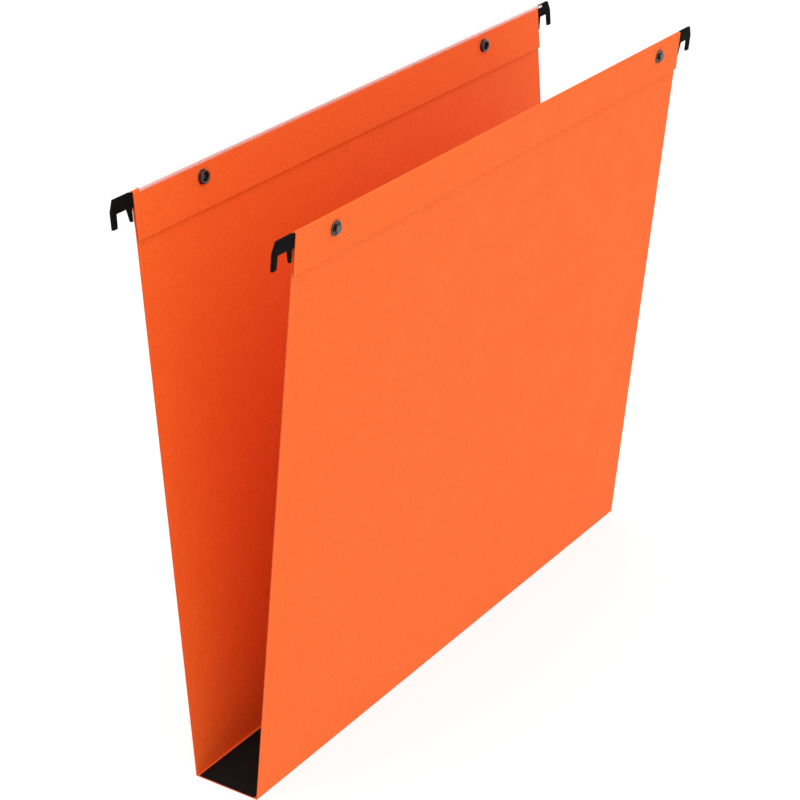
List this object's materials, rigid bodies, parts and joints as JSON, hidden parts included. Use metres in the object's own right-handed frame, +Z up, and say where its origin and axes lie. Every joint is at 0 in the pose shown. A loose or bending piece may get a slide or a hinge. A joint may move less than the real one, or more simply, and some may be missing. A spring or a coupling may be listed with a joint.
{
  "type": "hanging file folder",
  "caption": "Orange card hanging file folder with a flat lined base, leaning hemmed panels, hook-ended hanger bars, press studs and a clear index strip on the rear edge.",
  "frame": {"origin": "centre of the base's underside", "axes": "+X along the folder from the left hooks to the right hooks, +Y from the front panel to the rear panel, +Z up"},
  "size_m": [0.3429, 0.0822, 0.2659],
  "materials": {
    "card": "matte",
    "liner": "matte",
    "bar": "satin",
    "hook": "matte",
    "snap": "satin",
    "clear": "gloss",
    "label": "matte"
  },
  "bodies": {
    "base": {"base_panel": "card", "base_liner": "liner"},
    "front_panel": {"front_panel": "card", "front_hanger_bar": "bar", "front_left_hook": "hook", "front_right_hook": "hook", "front_left_snap_stud": "snap", "front_right_snap_stud": "snap", "front_left_snap_post": "snap", "front_right_snap_post": "snap"},
    "rear_panel": {"rear_panel": "card", "rear_hanger_bar": "bar", "rear_left_hook": "hook", "rear_right_hook": "hook", "rear_left_snap_socket": "snap", "rear_right_snap_socket": "snap", "rear_left_snap_eyelet": "snap", "rear_right_snap_eyelet": "snap", "rear_left_snap_spring": "snap", "rear_right_snap_spring": "snap"},
    "index_strip": {"index_strip": "clear"},
    "index_label": {"index_label": "label"}
  },
  "joints": [
    {"name": "front_panel_fold", "type": "hinge", "parent": "base", "child": "front_panel", "pos_m": [0, -0.01615, 0.00015], "axis": [1, 0, 0], "range_deg": [-7.5, 85]},
    {"name": "rear_panel_fold", "type": "hinge", "parent": "base", "child": "rear_panel", "pos_m": [0, 0.01615, 0.00015], "axis": [-1, 0, 0], "range_deg": [-7.5, 85]},
    {"name": "index_strip_lift", "type": "slide", "parent": "rear_panel", "child": "index_strip", "axis": [0, 0.0868, 0.9962], "range_m": [0, 0.012]},
    {"name": "index_label_slide", "type": "slide", "parent": "index_strip", "child": "index_label", "axis": [1, 0, 0], "range_m": [0, 0.3]}
  ]
}
